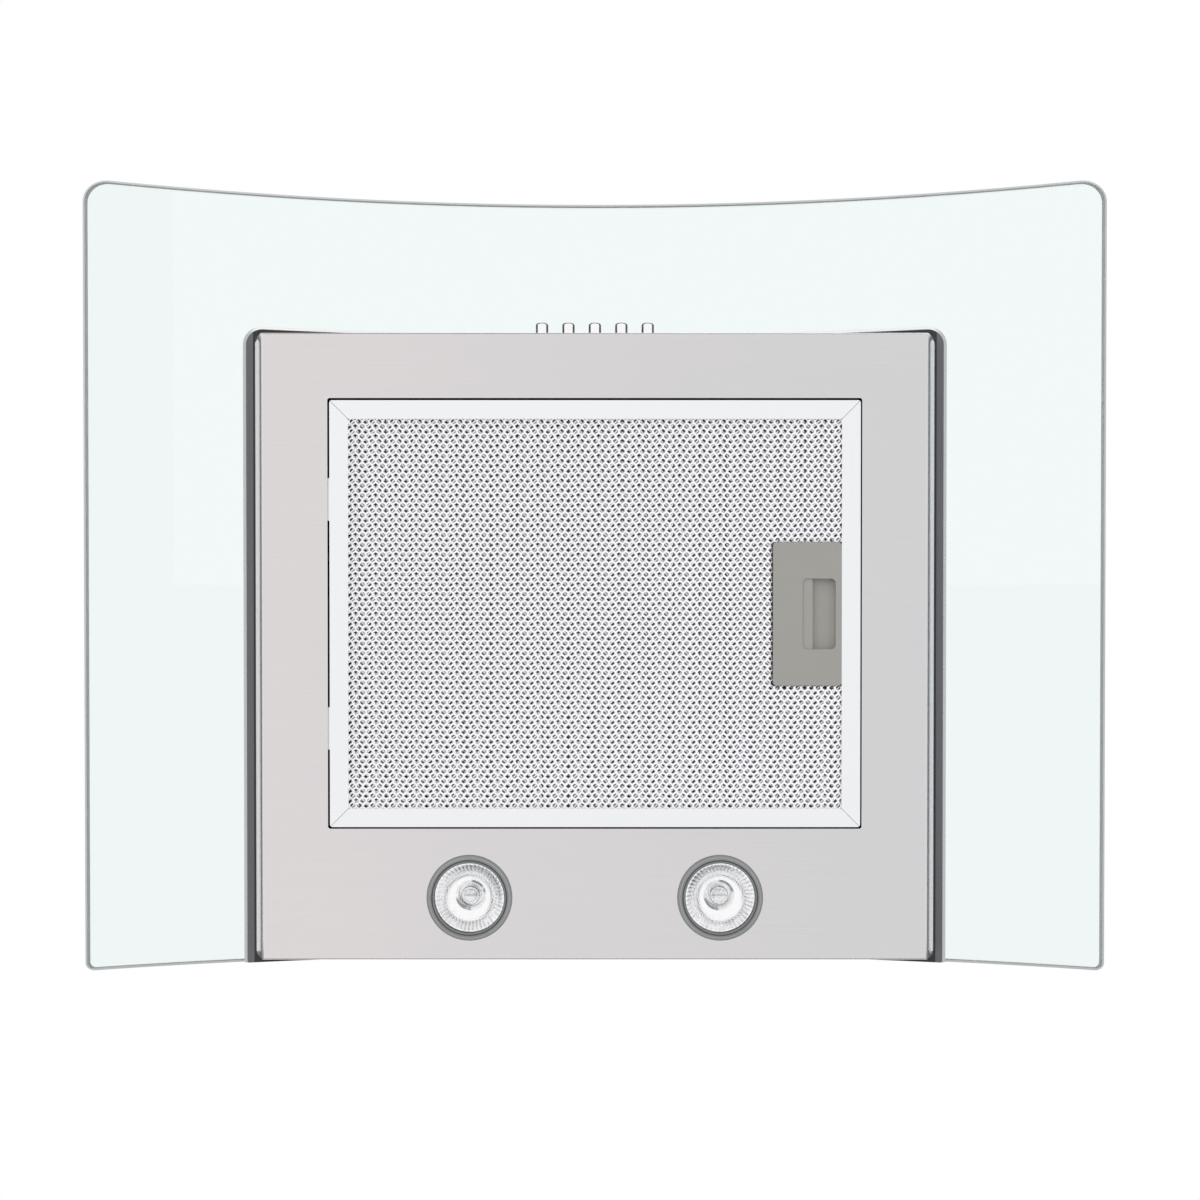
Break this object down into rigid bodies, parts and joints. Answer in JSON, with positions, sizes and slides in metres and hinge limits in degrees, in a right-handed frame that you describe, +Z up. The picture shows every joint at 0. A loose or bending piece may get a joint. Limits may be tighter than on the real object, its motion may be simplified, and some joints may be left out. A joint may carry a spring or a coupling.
{
  "type": "range hood",
  "caption": "Wall-mounted range hood with an arched glass canopy, brushed steel tray, hinged mesh grease filter, lamps, push buttons, centrifugal fan and telescopic chimney.",
  "frame": {"origin": "midway between the two wall screws, on the wall plane", "axes": "+X to the right for a viewer below whose picture's top is the hood's front, +Y into the wall, +Z up"},
  "size_m": [0.6, 0.4655, 0.5002],
  "materials": {
    "brushed_panel": "brushed",
    "grey_paint": "satin",
    "galvanised": "spangled zinc",
    "tinted_glass": "clear, ground edge",
    "lamp_glass": "clear",
    "black_rubber": "matt",
    "polished_screws": "polished",
    "zinc_screws": "bright zinc",
    "button_chrome": "polished",
    "lamp_rings": "satin nickel",
    "reflectors": "faceted bright",
    "bulb_glass": "clear",
    "sockets": "matt",
    "spring_steel": "plain",
    "black_plastic": "moulded",
    "grey_plastic": "moulded",
    "white_plastic": "moulded",
    "motor_metal": "cast",
    "transformer_core": "varnished",
    "filter_aluminium": "bright mill"
  },
  "bodies": {
    "hood": {"hood_tray": "brushed_panel", "top_plate": "grey_paint", "glass_seal": "black_rubber", "glass_canopy": "tinted_glass", "glass_bushes": "black_rubber", "glass_screws": "polished_screws", "glass_nuts": "zinc_screws", "motor_case": "galvanised", "tapping_screws": "zinc_screws", "scroll_front_half": "black_plastic", "scroll_rear_half": "black_plastic", "inlet_grille": "black_plastic", "motor_housing": "motor_metal", "motor_bushes": "black_rubber", "motor_screws": "zinc_screws", "run_capacitor": "white_plastic", "capacitor_clamp": "galvanised", "lamp_transformer": "transformer_core", "terminal_box": "white_plastic", "cable_gland": "black_plastic", "duct_collar": "black_plastic", "damper_pin": "spring_steel", "lower_chimney": "brushed_panel", "lamp_ring_left": "lamp_rings", "lamp_ring_right": "lamp_rings", "lamp_glass_left": "lamp_glass", "lamp_glass_right": "lamp_glass", "lamp_reflector_left": "reflectors", "lamp_reflector_right": "reflectors", "lamp_bulb_left": "bulb_glass", "lamp_bulb_right": "bulb_glass", "lamp_socket_left": "sockets", "lamp_socket_right": "sockets", "lamp_clips": "spring_steel", "switch_block": "black_plastic", "switch_nuts": "zinc_screws"},
    "fan": {"impeller": "white_plastic", "impeller_nut": "zinc_screws", "motor_shaft": "spring_steel"},
    "flap_front": {"damper_flap_front": "black_plastic"},
    "flap_rear": {"damper_flap_rear": "black_plastic"},
    "upper_flue": {"upper_chimney": "brushed_panel", "chimney_bracket": "galvanised", "bracket_screws": "zinc_screws"},
    "filter": {"filter_rail_left": "filter_aluminium", "filter_rail_right": "filter_aluminium", "filter_rail_front": "filter_aluminium", "filter_rail_rear": "filter_aluminium", "filter_mesh_front": "filter_aluminium", "filter_core": "filter_aluminium", "filter_mesh_back": "filter_aluminium", "latch_cover": "grey_plastic", "latch_spring": "spring_steel"},
    "latch": {"latch_slider": "grey_plastic"},
    "button_light": {"button_light": "button_chrome"},
    "button_off": {"button_off": "button_chrome"},
    "button_low": {"button_low": "button_chrome"},
    "button_medium": {"button_medium": "button_chrome"},
    "button_high": {"button_high": "button_chrome"}
  },
  "joints": [
    {"name": "fan_spin", "type": "hinge", "parent": "hood", "child": "fan", "pos_m": [-0.032, -0.1, -0.074], "axis": [0, 1, 0], "continuous": true},
    {"name": "damper_front_swing", "type": "hinge", "parent": "hood", "child": "flap_front", "pos_m": [0, -0.105, 0.048], "axis": [-1, 0, 0], "range_deg": [0, 80]},
    {"name": "damper_rear_swing", "type": "hinge", "parent": "hood", "child": "flap_rear", "pos_m": [0, -0.105, 0.048], "axis": [1, 0, 0], "range_deg": [0, 80]},
    {"name": "chimney_slide", "type": "slide", "parent": "hood", "child": "upper_flue", "axis": [0, 0, 1], "range_m": [-0.13, 0.11]},
    {"name": "filter_swing", "type": "hinge", "parent": "hood", "child": "filter", "pos_m": [-0.1579, -0.2103, -0.2133], "axis": [0, 1, 0], "range_deg": [0, 45]},
    {"name": "latch_slide", "type": "slide", "parent": "filter", "child": "latch", "axis": [-1, 0, 0], "range_m": [0, 0.006], "stiffness_N_per_m": 400, "springref_m": -0.003, "deforming": ["latch_spring"]},
    {"name": "button_light_press", "type": "slide", "parent": "hood", "child": "button_light", "axis": [0, 1, 0], "range_m": [0, 0.003], "stiffness_N_per_m": 300, "springref_m": -0.001},
    {"name": "button_off_press", "type": "slide", "parent": "hood", "child": "button_off", "axis": [0, 1, 0], "range_m": [0, 0.003], "stiffness_N_per_m": 300, "springref_m": -0.001},
    {"name": "button_low_press", "type": "slide", "parent": "hood", "child": "button_low", "axis": [0, 1, 0], "range_m": [0, 0.003], "stiffness_N_per_m": 300, "springref_m": -0.001},
    {"name": "button_medium_press", "type": "slide", "parent": "hood", "child": "button_medium", "axis": [0, 1, 0], "range_m": [0, 0.003], "stiffness_N_per_m": 300, "springref_m": -0.001},
    {"name": "button_high_press", "type": "slide", "parent": "hood", "child": "button_high", "axis": [0, 1, 0], "range_m": [0, 0.003], "stiffness_N_per_m": 300, "springref_m": -0.001}
  ]
}
